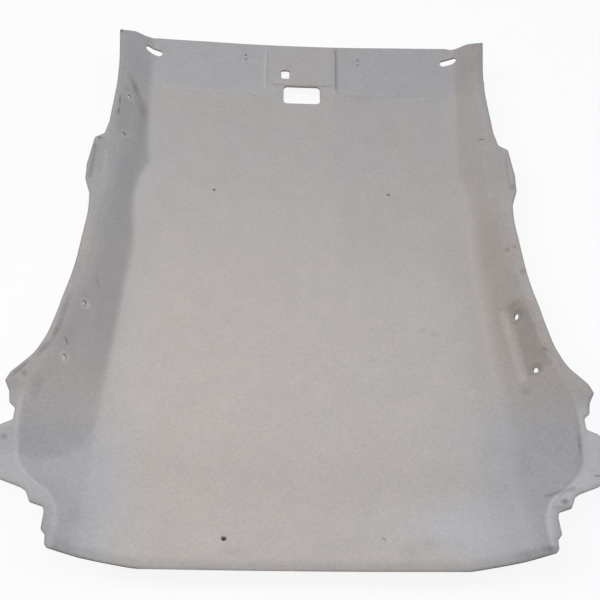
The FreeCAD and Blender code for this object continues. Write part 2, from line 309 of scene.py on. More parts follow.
def square_to(x, y):
    """Unit directions square to the moulding, out of its cabin face."""
    probe = 0.5
    across = (moulding(x + probe, y) - moulding(x - probe, y)) / (2.0 * probe)
    forward = (moulding(x, y + probe) - moulding(x, y - probe)) / (2.0 * probe)
    out = np.stack([-across, -forward, np.ones_like(across)], axis=-1)
    return out / np.linalg.norm(out, axis=-1, keepdims=True)


def rounded(corners):
    """Closed outline through (x, y, radius) corners, as points about one edge gap apart."""
    count = len(corners)
    points = []
    for k in range(count):
        before, here, after = (np.array(corners[i % count][:2]) for i in (k - 1, k, k + 1))
        back, ahead = before - here, after - here
        back_length, ahead_length = np.linalg.norm(back), np.linalg.norm(ahead)
        back, ahead = back / back_length, ahead / ahead_length
        turn = math.pi - math.acos(np.clip(back @ ahead, -1.0, 1.0))
        reach = min(corners[k][2] * math.tan(turn / 2.0), 0.49 * min(back_length, ahead_length))
        radius = reach / math.tan(turn / 2.0)
        bisector = (back + ahead) / np.linalg.norm(back + ahead)
        centre = here + bisector * radius / math.cos(turn / 2.0)
        first, last = here + back * reach - centre, here + ahead * reach - centre
        steps = max(2, math.ceil(radius * turn / edge_gap), math.ceil(turn / 0.3))
        for i in range(steps + 1):
            share = i / steps
            mixed = first * math.sin((1 - share) * turn) + last * math.sin(share * turn)
            points.append(centre + mixed / math.sin(turn))
    return fill_in(points)


def fill_in(points):
    """The same closed outline with its long straight stretches split."""
    filled = []
    for a, b in zip(points, points[1:] + points[:1]):
        span = np.linalg.norm(b - a)
        if span < 1e-6:
            continue
        parts = max(1, round(span / edge_gap))
        filled += [a + (b - a) * k / parts for k in range(parts)]
    return np.array(filled)


def half_outline():
    """Corners of the cut edge on the right half, from the windscreen to the tailgate."""
    return [
        (half_front_straight - 170.0, front_edge, 900.0),
        (half_front_straight, front_edge - 4.0, 60.0),
        (half_front_straight + 35.0, front_edge - 14.0, 20.0),
        (half_front_straight + 60.0, front_edge - 18.0, 30.0),
        (half_front_corner - 11.0, front_edge - 37.0, 40.0),
        (half_front_corner, front_edge - 38.0, 4.0),
        (half_windscreen_post + 6.0, front_edge - 135.0, 500.0),
        (half_windscreen_post, front_edge - 225.0, 600.0),
        (half_windscreen_post - 1.0, front_edge - 405.0, 120.0),
        (half_waist, front_edge - 452.0, 18.0),
        (half_post_tab - 12.0, front_edge - 472.0, 8.0),
        (half_post_tab, 236.0, 60.0),
        (half_post_tab - 3.0, 186.0, 25.0),
        (half_door + 7.0, 140.0, 60.0),
        (half_door - 1.0, 78.0, 400.0),
        (half_door + 6.0, -70.0, 900.0),
        (half_rear_door, -225.0, 500.0),
        (half_rear_door + 13.0, -292.0, 250.0),
        (half_wing_root, -342.0, 120.0),
        (half_wing_tip - 10.0, wing_front + 49.0, 30.0),
        (half_wing_tip, wing_front + 28.0, 5.0),
        (half_notch + 15.0, wing_front + 9.0, 6.0),
        (half_notch + 13.0, wing_front - 13.0, 6.0),
        (half_notch, wing_front - 24.0, 6.0),
        (half_notch + 1.0, wing_front - 48.0, 7.0),
        (half_wing_tip - 2.0, wing_front - 57.0, 8.0),
        (half_wing_end, wing_front - 68.0, 12.0),
        (half_wing_end - 1.0, wing_front - 152.0, 14.0),
        (half_wing_tip - 18.0, wing_front - 173.0, 20.0),
        (half_shelf, wing_front - 188.0, 8.0),
        (half_shelf - 12.0, wing_front - 195.0, 12.0),
        (half_shelf - 25.0, wing_front - 219.0, 10.0),
        (half_rear_corner + 8.0, wing_front - 228.0, 8.0),
        (half_rear_corner + 3.0, wing_front - 241.0, 8.0),
        (half_rear_corner, wing_front - 277.0, 5.0),
        (half_rear_corner - 11.0, wing_front - 289.0, 5.0),
        (half_rear_corner - 15.0, wing_front - 309.0, 5.0),
        (half_rear_corner - 22.0, wing_front - 316.0, 8.0),
        (half_rear_corner - 80.0, rear_edge + 20.0, 250.0),
        (half_rear_edge, rear_edge + 1.0, 300.0),
        (half_rear_edge - 200.0, rear_edge, 900.0),
    ]


def outline():
    right = half_outline()
    left = [(-x, y, r) for x, y, r in reversed(right)]
    return rounded(right + left)


def opening(x, y, width, length, corner, turn=0.0):
    """Outline of an opening cut square to the sheet at (x, y), as it lies in plan."""
    w, h = width / 2.0, length / 2.0
    if corner >= min(w, h):
        count = max(12, round(math.pi * width / 2.2))
        angles = np.arange(count) * 2.0 * math.pi / count
        flat = np.stack([w * np.cos(angles), h * np.sin(angles)], axis=-1)
    else:
        flat = rounded([(w, h, corner), (-w, h, corner), (-w, -h, corner), (w, -h, corner)])
    cos, sin = math.cos(math.radians(turn)), math.sin(math.radians(turn))
    flat = flat @ np.array([[cos, sin], [-sin, cos]])
    out = Vector(square_to(np.array(x), np.array(y)))
    tilt = np.array(Vector((0, 0, 1)).rotation_difference(out).to_matrix())
    return np.array([x, y]) + flat @ tilt[:2, :2].T


def openings():
    """Lamp, plug and clip holes, then visor pivots, screws and handles on both sides, and hooks."""
    holes = [
        opening(0.0, front_edge - 187.0, 109.0, 66.0, 12.0),
        opening(-50.0, front_edge - 112.0, 25.0, 30.0, 6.0),
        opening(*rear_clip_hole, 10.0, 10.0, 5.0),
    ]
    screw_x, screw_y = roof_screw
    for side in (-1.0, 1.0):
        holes.append(opening(side * 446.0, front_edge - 56.0, 48.0, 20.0, 9.6, side * 16.0))
        holes.append(opening(side * screw_x, screw_y, 6.0, 6.0, 3.0))
        holes += [opening(side * x, y, 10.0, 15.0, 5.0) for x, y in rear_handle_holes]
    holes += [opening(-x, y, 10.0, 10.0, 5.0) for x, y in front_handle_holes]
    hooks = [(-172.0, 42.0), (-170.0, 58.0), (171.0, 48.0), (171.0, 65.0)]
    holes += [opening(x, front_edge - back, 4.0, 4.0, 2.0) for x, back in hooks]
    return holes


def to_loop(points, loop):
    """Distance of each point from a closed loop."""
    best = np.full(len(points), 1e9)
    for a, b in zip(loop, np.roll(loop, -1, axis=0)):
        step = b - a
        t = np.clip(((points - a) @ step) / (step @ step), 0.0, 1.0)
        best = np.minimum(best, np.linalg.norm(points - a - t[:, None] * step, axis=1))
    return best


def within(points, loop):
    """Which points lie inside a closed loop."""
    inside = np.zeros(len(points), dtype=bool)
    for a, b in zip(loop, np.roll(loop, -1, axis=0)):
        crosses = (a[1] > points[:, 1]) != (b[1] > points[:, 1])
        if a[1] != b[1]:
            reach = (b[0] - a[0]) * (points[:, 1] - a[1]) / (b[1] - a[1]) + a[0]
            inside ^= crosses & (points[:, 0] < reach)
    return inside


def inset(loop, distance):
    """The loop moved sideways, into the sheet for a loop that runs anticlockwise."""
    step = np.roll(loop, -1, axis=0) - np.roll(loop, 1, axis=0)
    step /= np.linalg.norm(step, axis=1, keepdims=True)
    return loop + distance * np.stack([-step[:, 1], step[:, 0]], axis=-1)


def signed_area(loop):
    x, y = loop.T
    return 0.5 * np.sum(x * np.roll(y, -1) - y * np.roll(x, -1))


def inner_points(loops):
    """Staggered rows of points over the sheet, clear of every cut edge."""
    row_gap = point_gap * math.sqrt(3.0) / 2.0
    rows = np.arange(rear_edge, front_edge, row_gap)
    places = []
    for number, y in enumerate(rows):
        shift = 0.5 * point_gap * (number % 2)
        xs = np.arange(-half_wing_end + shift, half_wing_end, point_gap)
        places.append(np.stack([xs, np.full(len(xs), y)], axis=-1))
    points = np.concatenate(places)
    points = points[within(points, loops[0])]
    for loop in loops:
        low = loop.min(axis=0) - point_gap
        high = loop.max(axis=0) + point_gap
        near = np.all((points > low) & (points < high), axis=1)
        if loop is not loops[0]:
            inside = np.zeros(len(points), dtype=bool)
            inside[near] = within(points[near], loop)
            points = points[~inside]
            near = near[~inside]
        clear = np.full(len(points), 1e9)
        clear[near] = to_loop(points[near], loop)
        points = points[clear > edge_roll + 0.5 * point_gap]
    return points


def flat_mesh():
    """Triangles over the sheet in plan, with the cut edges as loops of point numbers."""
    loops = [outline()] + openings()
    loops = [loop if signed_area(loop) > 0 else loop[::-1] for loop in loops]
    edges = []
    points = []
    rims = []
    for number, loop in enumerate(loops):
        sideways = edge_roll if number == 0 else -hole_roll
        for ring in (loop, inset(loop, sideways)):
            start = sum(map(len, points))
            points.append(ring)
            ids = list(range(start, start + len(ring)))
            edges += list(zip(ids, ids[1:] + ids[:1]))
            if ring is loop:
                rims.append(ids)
    points.append(inner_points(loops))
    flat = np.concatenate(points)
    made = delaunay_2d_cdt([Vector(p) for p in flat], edges, [], 0, 1e-5, True)
    verts = np.array([(v.x, v.y) for v in made[0]])
    faces = np.array(made[2])
    middles = verts[faces].mean(axis=1)
    keep = within(middles, loops[0])
    for loop in loops[1:]:
        near = np.all(np.abs(middles - loop.mean(axis=0)) < 80.0, axis=1)
        inside = np.zeros(len(middles), dtype=bool)
        inside[near] = within(middles[near], loop)
        keep &= ~inside
    new_id = {}
    for new, origins in enumerate(made[3]):
        for old in origins:
            new_id[old] = new
    rims = [[new_id[i] for i in ids] for ids in rims]
    return verts, faces[keep], rims, loops


# Grubby places and a few marks of painted shade: x, y, half sizes, turn and how much darker they are. The
# wide ones are kept with the mesh, and the small ones are drawn by the material, which holds finer detail
smudges_and_shade = [
    (-549.0, -214.0, 9.0, 60.0, -8.0, 0.14), (-557.0, -274.0, 8.0, 34.0, -14.0, 0.22),
    (-578.0, -326.0, 9.0, 34.0, -34.0, 0.20), (-537.0, -293.0, 3.0, 12.0, 24.0, 0.40),
    (-618.0, -380.0, 5.0, 36.0, -40.0, 0.34), (-607.0, -386.0, 9.0, 9.0, 0.0, 0.20),
    (-581.0, -408.0, 14.0, 40.0, -10.0, 0.12), (-633.0, -520.0, 10.0, 10.0, 0.0, 0.20),
    (-454.0, -680.0, 40.0, 26.0, 20.0, 0.03), (-543.0, 314.0, 9.0, 5.0, 20.0, 0.40),
    (-538.0, 742.0, 8.0, 10.0, 0.0, 0.50), (-143.0, 587.0, 8.0, 4.0, 0.0, 0.24),
    # The marks from (-512, 474) to (-458, 430) are painted shade, in the left front handle pocket and along
    # the left wall foot.
    (-512.0, 474.0, 4.0, 34.0, 3.0, 0.30), (-510.0, 430.0, 4.0, 22.0, 0.0, 0.35),
    (-484.0, 560.0, 12.0, 44.0, 26.0, 0.26), (-463.0, 505.0, 20.0, 60.0, 18.0, 0.16),
    (-458.0, 430.0, 20.0, 130.0, 0.0, 0.13), (524.0, 742.0, 26.0, 16.0, 0.0, 0.08),
    (500.0, 690.0, 60.0, 110.0, 0.0, 0.04), (497.0, 375.0, 14.0, 3.5, -38.0, 0.34),
    (556.0, 198.0, 12.0, 13.0, 0.0, 0.26), (153.0, 731.0, 4.0, 6.0, 0.0, 0.16),
    (-172.0, 742.0, 6.0, 5.0, 0.0, 0.24), (-188.0, 728.0, 3.0, 5.0, 0.0, 0.20),
    (295.0, -197.0, 20.0, 9.0, 10.0, 0.07), (325.0, -207.0, 20.0, 11.0, 0.0, 0.10),
    (513.0, -6.0, 9.0, 9.0, 0.0, 0.18), (529.0, -1.0, 10.0, 10.0, 0.0, 0.16),
    (539.0, -78.0, 9.0, 14.0, 0.0, 0.22), (556.0, -294.0, 5.0, 12.0, 30.0, 0.26),
    (513.0, -380.0, 16.0, 12.0, 0.0, 0.12), (600.0, -516.0, 4.0, 30.0, -3.0, 0.22),
    (626.0, -586.0, 12.0, 4.0, 0.0, 0.35), (545.0, -642.0, 13.0, 9.0, 20.0, 0.34),
    (449.0, -752.0, 30.0, 12.0, 0.0, 0.14), (490.0, -745.0, 22.0, 10.0, 0.0, 0.24),
    (212.0, -742.0, 34.0, 22.0, 0.0, 0.06), (256.0, -724.0, 26.0, 20.0, 0.0, 0.05),
    (-140.0, -747.0, 40.0, 12.0, 0.0, 0.08), (176.0, -280.0, 14.0, 8.0, 0.0, 0.06),
    (170.0, 586.0, 80.0, 15.0, 0.0, 0.05), (-429.0, 312.0, 10.0, 10.0, 0.0, 0.08),
    (165.0, -716.0, 5.0, 5.0, 0.0, 0.26), (-541.0, -100.0, 13.0, 90.0, -3.0, 0.05),
    (-550.0, -250.0, 13.0, 70.0, -8.0, 0.04), (519.0, -105.0, 14.0, 60.0, 9.0, 0.06),
    (535.0, -195.0, 11.0, 60.0, 9.0, 0.06), (-538.0, 268.0, 12.0, 60.0, 0.0, 0.05),
    (-484.0, -196.0, 4.0, 26.0, 0.0, 0.05), (-497.0, -117.0, 6.0, 22.0, 20.0, 0.10),
]

# Pale, cooler place in front of the right rear corner
pale_corner = (330.0, -695.0, 230.0, 90.0)
smallest_kept = 11.0
wide_smudges_and_shade = [s for s in smudges_and_shade if min(s[2], s[3]) >= smallest_kept]
small_smudges_and_shade = [s for s in smudges_and_shade if min(s[2], s[3]) < smallest_kept]


def fade(values, start, end):
    """0 where the values are at start, 1 where they are at end, smooth between."""
    return ease((values - start) / (end - start))


def spread(values, middle, reach):
    """1 where the values are at middle, fading to 0 at that reach to either side."""
    return np.clip(1.0 - np.abs(values - middle) / reach, 0.0, 1.0)


def patch(x, y, middle_x, middle_y, across, lengthwise, turn=0.0):
    """1 in the middle of an oval in plan, fading to 0 at its rim."""
    cos, sin = math.cos(math.radians(turn)), math.sin(math.radians(turn))
    off_x, off_y = x - middle_x, y - middle_y
    sideways, forward = off_x * cos + off_y * sin, off_y * cos - off_x * sin
    return np.clip(1.0 - np.hypot(sideways / across, forward / lengthwise), 0.0, 1.0)


def tone_and_painted_shade(x, y):
    """Broad tone: painted light on the roof, the rear a little darker, painted shade along the wall feet.
    """
    past_foot = np.abs(x) - wall_foot(x, y)
    right = fade(x, -50.0, 50.0)
    roof = fade(past_foot, 0.0, -70.0)
    # Painted light: the roof lighter toward the tailgate.
    tone = 1.0 + 0.055 * roof * fade(y, 520.0, -300.0)
    # A little darker toward the tailgate edge, and on the roof in front of the tailgate bend.
    tone *= 1.0 - 0.025 * fade(y, -560.0, -700.0)
    tone *= 1.0 - 0.035 * roof * spread(y, -575.0, 100.0)
    tone *= 1.0 + 0.09 * patch(x, y, *pale_corner)
    # Painted shade on a soft dent right of the middle.
    tone *= 1.0 - 0.022 * fade(x, 80.0, 125.0) * fade(y, -80.0, 60.0) * fade(past_foot, 0.0, -10.0)
    # Painted shade across the soft rise to the right wall.
    curve = fade(past_foot, -120.0, -30.0) * fade(past_foot, 6.0, -8.0) * right
    tone *= 1.0 - 0.052 * curve * fade(y, 260.0, -60.0)
    # Painted highlight along the right wall foot.
    tone *= 1.0 + 0.06 * spread(past_foot, 13.0, 18.0) * right * fade(y, 320.0, 120.0)
    # Painted shade on the lip roots.
    lip_root = spread(np.abs(x) - crest(y), 6.0, 15.0) * fade(y, 240.0, 80.0) * fade(y, -380.0, -300.0)
    tone *= 1.0 - 0.07 * lip_root
    # Painted shade on the right wall by the windscreen.
    tone *= 1.0 - 0.06 * fade(past_foot, 0.0, 12.0) * fade(y, 540.0, 640.0) * right
    return tone


def soil_and_shade(x, y):
    """How much darker the wide grubby places and the wide marks of painted shade are."""
    return sum(1.5 * smudge[5] * patch(x, y, *smudge[:5]) for smudge in wide_smudges_and_shade)


def coolness(x, y):
    """0 where the knit is warm grey, 1 where it is neutral, with painted cool light on the tilted visor
    pockets.
    """
    past_foot = np.abs(x) - wall_foot(x, y)
    front = 0.45 * fade(y, 0.0, 350.0)
    # Painted light: a cooler tint on the visor pockets, for their tilt.
    visors = 0.55 * fade(y, 590.0, 615.0) * fade(past_foot, -366.0, -340.0)
    left = 0.4 * fade(x, -300.0, -480.0) * fade(y, 560.0, 200.0)
    right_corner = fade(y, -320.0, -500.0) * fade(past_foot, -220.0, 20.0) * fade(x, 0.0, 100.0)
    left_corner = fade(y, -360.0, -620.0) * fade(past_foot, -140.0, 20.0) * fade(x, 0.0, -100.0)
    corners = right_corner + left_corner
    warm_corner = 0.6 * fade(x, 440.0, 480.0) * fade(y, 500.0, 620.0)
    return (front + visors + left + corners + patch(x, y, *pale_corner)) * (1.0 - warm_corner)


def panel_mesh():
    """Both skins of the sheet and the cut edges between them."""
    flat, faces, rims, loops = flat_mesh()
    x, y = flat.T
    out = square_to(x, y)
    rim_ids = np.array([i for ids in rims for i in ids])
    dropped = np.zeros(len(flat))
    dropped[rim_ids] = edge_drop
    top = np.stack([x, y, height(x, y)], axis=-1)
    bottom = top - out * sheet
    top -= out * dropped[:, None]
    count = len(flat)
    used = np.unique(faces)
    renumber = np.full(2 * count, -1)
    renumber[used] = np.arange(len(used))
    renumber[used + count] = np.arange(len(used)) + len(used)
    verts = np.clip(np.concatenate([top[used], bottom[used]]) * MM, panel_low, panel_high)
    upper = faces
    lower = faces[:, ::-1] + count
    sides = []
    for number, ids in enumerate(rims):
        for a, b in zip(ids, ids[1:] + ids[:1]):
            if number == 0:
                sides.append((b, a, a + count, b + count))
            else:
                sides.append((a, b, b + count, a + count))
    mesh = bpy.data.meshes.new("panel")
    polygons = [tuple(renumber[list(f)]) for f in upper]
    polygons += [tuple(renumber[list(f)]) for f in lower]
    polygons += [tuple(renumber[list(f)]) for f in sides]
    mesh.from_pydata([tuple(v) for v in verts], [], polygons)
    kinds = np.array([0] * len(upper) + [1] * len(lower) + [2] * len(sides), dtype=np.int32)
    mesh.polygons.foreach_set("material_index", kinds)
    mesh.polygons.foreach_set("use_smooth", np.ones(len(polygons), dtype=bool))
    mesh.validate()
    mesh.update()
    mesh.set_sharp_from_angle(angle=math.radians(50.0))
    x, y = x[used], y[used]
    keep_values(mesh, "past_crest", np.abs(x) - crest(y))
    keep_values(mesh, "past_foot", np.abs(x) - wall_foot(x, y))
    keep_values(mesh, "from_edge", to_loop(flat[used], loops[0]))
    keep_values(mesh, "tone_and_painted_shade", tone_and_painted_shade(x, y))
    keep_values(mesh, "soil_and_shade", soil_and_shade(x, y))
    keep_values(mesh, "coolness", coolness(x, y))
    return mesh


def keep_values(mesh, name, values):
    """Store a value for each point with both skins, for the materials to read."""
    layer = mesh.attributes.new(name, "FLOAT", "POINT")
    layer.data.foreach_set("value", np.tile(values, 2).astype(np.float32))


class Nodes:
    """Short way to build a material's nodes."""

    def __init__(self, name, roughness):
        self.material = bpy.data.materials.new(name)
        self.material.use_nodes = True
        self.tree = self.material.node_tree
        self.shader = self.tree.nodes["Principled BSDF"]
        self.shader.inputs["Roughness"].default_value = roughness
        self.shader.inputs["Specular IOR Level"].default_value = 0.15
        self.place = self.add("ShaderNodeTexCoord").outputs["Object"]
        split = self.add("ShaderNodeSeparateXYZ")
        self.put(split.inputs[0], self.place)
        self.x, self.y = (self.maths("DIVIDE", split.outputs[k], MM) for k in (0, 1))

    def add(self, kind, **values):
        made = self.tree.nodes.new(kind)
        for key, value in values.items():
            setattr(made, key, value)
        return made

    def put(self, socket, value):
        if isinstance(value, bpy.types.NodeSocket):
            self.tree.links.new(value, socket)
        else:
            socket.default_value = value

    def maths(self, operation, *values, clamp=False):
        made = self.add("ShaderNodeMath", operation=operation, use_clamp=clamp)
        for socket, value in zip(made.inputs, values):
            self.put(socket, value)
        return made.outputs[0]

    def reading(self, name):
        """Values kept with the mesh, distances in millimetres."""
        return self.add("ShaderNodeAttribute", attribute_name=name).outputs["Fac"]

    def between(self, value, start, end):
        """0 where the value is at start, 1 where it is at end, smooth between."""
        made = self.add("ShaderNodeMapRange", interpolation_type="SMOOTHSTEP")
        self.put(made.inputs["Value"], value)
        made.inputs["From Min"].default_value = start
        made.inputs["From Max"].default_value = end
        return made.outputs["Result"]

    def band(self, value, middle, reach):
        """1 where the value is at middle, fading to 0 at that reach to either side."""
        off = self.maths("ABSOLUTE", self.maths("SUBTRACT", value, middle))
        return self.maths("SUBTRACT", 1.0, self.maths("DIVIDE", off, reach), clamp=True)

    def both(self, first, *others):
        """Masks multiplied together."""
        for other in others:
            first = self.maths("MULTIPLY", first, other)
        return first

    def noise(self, size, detail=2.0, rough=0.5, stretch=(1.0, 1.0, 1.0)):
        """Noise from 0 to 1 whose lumps are about size metres across."""
        mapping = self.add("ShaderNodeMapping")
        self.put(mapping.inputs["Vector"], self.place)
        mapping.inputs["Scale"].default_value = stretch
        made = self.add("ShaderNodeTexNoise")
        self.put(made.inputs["Vector"], mapping.outputs[0])
        made.inputs["Scale"].default_value = 1.0 / size
        made.inputs["Detail"].default_value = detail
        made.inputs["Roughness"].default_value = rough
        return made.outputs[0]

    def oval(self, x, y, across, lengthwise, turn=0.0):
        """Coordinates from (x, y), measured in half sizes of an oval in plan."""
        mapping = self.add("ShaderNodeMapping", vector_type="TEXTURE")
        self.put(mapping.inputs["Vector"], self.place)
        mapping.inputs["Location"].default_value = (x * MM, y * MM, 0.0)
        mapping.inputs["Rotation"].default_value = (0.0, 0.0, math.radians(turn))
        mapping.inputs["Scale"].default_value = (across * MM, lengthwise * MM, 1000.0)
        return mapping.outputs[0]

    def out_from(self, x, y, across, lengthwise, turn=0.0):
        """0 at (x, y), 1 on the rim of that oval."""
        length = self.add("ShaderNodeVectorMath", operation="LENGTH")
        self.put(length.inputs[0], self.oval(x, y, across, lengthwise, turn))
        return length.outputs["Value"]

    def blot(self, x, y, across, lengthwise, turn=0.0):
        """1 at (x, y), fading to 0 at the rim of the oval."""
        rim = self.out_from(x, y, across, lengthwise, turn)
        return self.maths("SUBTRACT", 1.0, rim, clamp=True)

    def stroke(self, start, end, reach):
        """1 along a straight line in plan, fading to 0 at that reach to either side."""
        (x0, y0), (x1, y1) = start, end
        half = 0.5 * math.hypot(x1 - x0, y1 - y0)
        turn = math.degrees(math.atan2(y1 - y0, x1 - x0))
        split = self.add("ShaderNodeSeparateXYZ")
        self.put(split.inputs[0], self.oval(0.5 * (x0 + x1), 0.5 * (y0 + y1), half, reach, turn))
        ends = self.between(self.maths("ABSOLUTE", split.outputs[0]), 1.03, 0.9)
        sides = self.maths("SUBTRACT", 1.0, self.maths("ABSOLUTE", split.outputs[1]), clamp=True)
        return self.both(ends, sides)

    def tinted(self, tone, mask, amount):
        """The tone times 1 + amount where the mask is 1."""
        return self.maths("MULTIPLY", tone, self.maths("MULTIPLY_ADD", mask, amount, 1.0))

    def shades(self, factor, low, high):
        """Colour between two, by factor."""
        mix = self.add("ShaderNodeMix", data_type="RGBA")
        self.put(mix.inputs["Factor"], factor)
        mix.inputs["A"].default_value = low
        mix.inputs["B"].default_value = high
        return mix.outputs["Result"]

    def bump(self, value, depth):
        made = self.add("ShaderNodeBump")
        made.inputs["Strength"].default_value = 1.0
        made.inputs["Distance"].default_value = depth
        self.put(made.inputs["Height"], value)
        self.put(self.shader.inputs["Normal"], made.outputs[0])


def srgb(red, green, blue):
    """Screen colour from 0 to 255 as a linear colour."""
    linear = []
    for part in (red, green, blue):
        part /= 255.0
        linear.append(part / 12.92 if part <= 0.04045 else ((part + 0.055) / 1.055) ** 2.4)
    return (*linear, 1.0)


# Lines of painted shade and painted highlight along the steps of the visor pockets and the middle pad and
# along the creases: ends, reach and change of tone
step_shade_lines = [
    ((103.0, 622.0), (103.0, 780.0), 6.0, -0.32), ((-104.0, 636.0), (-104.0, 765.0), 3.0, -0.16),
    ((-113.0, 622.0), (-113.0, 770.0), 4.5, 0.11), ((-98.0, 634.0), (100.0, 634.0), 3.4, -0.20),
    ((-120.0, 603.0), (-440.0, 603.0), 6.0, 0.12), ((124.0, 598.0), (440.0, 602.0), 5.0, -0.09),
    ((-552.0, 296.0), (-556.0, 187.0), 9.0, -0.28), ((548.0, 290.0), (550.0, 204.0), 3.4, -0.14),
    ((-526.0, 290.0), (-522.0, 196.0), 10.0, 0.08),
    ((-480.0, 470.0), (-477.0, 352.0), 4.0, 0.09), ((508.0, -628.0), (575.0, -612.0), 7.0, -0.26),
    ((514.0, -655.0), (556.0, -655.0), 6.0, -0.20), ((518.0, -650.0), (546.0, -622.0), 5.0, -0.14),
]


def knit_colour(made):
    """Warm grey on the roof and the right wall, neutral by the windscreen and the rear corners, with
    painted cool light on the visor pockets.
    """
    drift = made.maths("MULTIPLY_ADD", made.noise(0.12, 3.0, 0.6), 0.6, -0.3)
    cool = made.maths("ADD", made.reading("coolness"), drift, clamp=True)
    return made.shades(cool, srgb(186, 179.5, 174.0), srgb(181, 178.5, 179.5))


def grain(made):
    """Uneven tone of the knit, from its loops up to broad patches."""
    tone = 0.93
    for size, amount in ((0.0032, 0.34), (0.0085, 0.22), (0.05, 0.12)):
        lumps = made.maths("SUBTRACT", made.noise(size, 2.0, 0.6), 0.5)
        tone = made.tinted(tone, lumps, amount)
    return tone


def specks(made):
    """Small dark specks, more of them toward the tailgate."""
    cells = made.add("ShaderNodeTexVoronoi")
    made.put(cells.inputs["Vector"], made.place)
    cells.inputs["Scale"].default_value = 1.0 / 0.011
    spot = made.between(cells.outputs["Distance"], 0.15, 0.04)
    chance = made.add("ShaderNodeSeparateColor")
    made.put(chance.inputs[0], cells.outputs["Color"])
    rearward = made.between(made.y, 500.0, -750.0)
    limit = made.maths("MULTIPLY_ADD", rearward, -0.45, 0.8)
    depth = made.maths("MULTIPLY_ADD", chance.outputs[1], 0.7, 0.3)
    return made.both(spot, depth, made.maths("GREATER_THAN", chance.outputs[0], limit))


def shade_and_highlight_zones(made, tone):
    """Painted shade on walls, lips and the right wing's valley, painted highlight on its flange and the
    crests.
    """
    tone = made.maths("MULTIPLY", tone, made.reading("tone_and_painted_shade"))
    past_crest, past_foot = made.reading("past_crest"), made.reading("past_foot")
    right, left = made.between(made.x, -50.0, 50.0), made.between(made.x, 50.0, -50.0)
    wing = made.between(made.y, wing_front + 30.0, wing_front - 30.0)
    before_wing = made.maths("SUBTRACT", 1.0, wing)
    # Painted shade on the walls.
    wall = made.both(made.between(past_foot, -6.0, 16.0), made.between(past_crest, 4.0, -6.0))
    tone = made.tinted(tone, made.both(wall, made.between(made.y, 100.0, -300.0)), -0.08)
    tone = made.tinted(tone, made.both(wall, right, made.between(made.y, 300.0, 0.0)), -0.07)
    # Painted shade where the left wall ends in front of the rear corner.
    curl = made.maths("EXPONENT", made.maths("DIVIDE", past_foot, -35.0))
    before_end = made.maths("SUBTRACT", made.y, made.maths("MULTIPLY_ADD", curl, 113.0, end_line))
    left_end = made.both(made.between(past_foot, 0.0, 14.0), made.between(past_crest, 4.0, -8.0),
                         made.between(before_end, -6.0, 8.0), made.between(made.y, -400.0, -500.0))
    tone = made.tinted(tone, made.both(left_end, left), -0.055)
    # Painted shade on the lips.
    lip = made.between(past_crest, -4.0, 6.0)
    tone = made.tinted(tone, made.both(lip, before_wing), -0.09)
    # Painted highlight on the right wing flange.
    flange = made.both(lip, wing)
    tone = made.tinted(tone, made.both(flange, right), 0.14)
    # Painted shade in the valley inside the right wing's crest.
    valley = made.both(made.band(past_crest, 1.0, 15.0), made.between(made.y, -640.0, -570.0),
                       made.between(made.y, -430.0, -500.0))
    tone = made.tinted(tone, made.both(valley, right), -0.13)
    # Painted highlight along the wing crests.
    ridge = made.both(wing, made.band(past_crest, 4.0, 6.0))
    return made.tinted(tone, ridge, 0.06)


def pad_shade_and_highlight(made, tone):
    """Painted shade on the flat pad behind the right rear door, and a painted highlight on the ledge along
    it.
    """
    lean = (pad_line[1] - pad_line[0]) / (pad_rear - pad_front)
    line = made.maths("MULTIPLY_ADD", made.y, lean, pad_line[0] - pad_front * lean)
    past_line = made.maths("SUBTRACT", made.x, line)
    slanted = made.maths("MULTIPLY_ADD", past_line, -pad_slant, made.y)
    ends = made.both(made.between(slanted, pad_front, pad_front - 8.0),
                     made.between(slanted, pad_rear, pad_rear + 8.0))
    pad = made.both(made.between(past_line, -3.0, 3.0),
                    made.between(made.reading("past_crest"), 2.0, -4.0), ends)
    # Painted shade on the pad.
    tone = made.tinted(tone, pad, -0.085)
    # Painted highlight on the ledge.
    return made.tinted(tone, made.both(made.band(past_line, -15.0, 13.0), ends), 0.12)


def dirt_and_shade(made, tone):
    """Smudges, painted shade and highlights on steps, creases, the handle pad and hole rims, the grubby cut
    edge.
    """
    patchy = made.maths("MULTIPLY_ADD", made.noise(0.012, 3.0, 0.7), 1.6, 0.2)
    # Wide grubby places, some of them painted shade.
    tone = made.tinted(tone, made.both(made.reading("soil_and_shade"), patchy), -1.0)
    # Small grubby places, some of them painted shade.
    for x, y, across, lengthwise, turn, amount in small_smudges_and_shade:
        mark = made.blot(x, y, across, lengthwise, turn)
        tone = made.tinted(tone, made.both(mark, patchy), -1.5 * amount)
    # Painted shade and highlights along steps and creases.
    for start, end, reach, amount in step_shade_lines:
        tone = made.tinted(tone, made.stroke(start, end, reach), amount)
    tone = pad_shade_and_highlight(made, tone)
    # Painted highlight: lighter rings round the left handle holes.
    for x, y in rear_handle_holes + front_handle_holes:
        rim = made.band(made.out_from(-x, y, 8.0, 12.5), 1.0, 0.3)
        tone = made.tinted(tone, rim, 0.20)
    # Darker rings round the right rear handle holes.
    for x, y in rear_handle_holes:
        rim = made.band(made.out_from(x, y, 9.5, 14.0), 1.0, 0.4)
        tone = made.tinted(tone, rim, -0.16)
    covered = made.band(made.out_from(162.0, rear_edge + 67.0, 6.0, 6.0), 1.0, 0.35)
    tone = made.tinted(tone, covered, -0.14)
    from_edge = made.reading("from_edge")
    rear_rim = made.both(made.between(from_edge, 30.0, 6.0), made.between(made.y, -620.0, -690.0))
    tone = made.tinted(tone, rear_rim, -0.15)
    edge = made.both(made.between(from_edge, 5.0, 1.0), patchy)
    return made.tinted(tone, edge, -0.14)


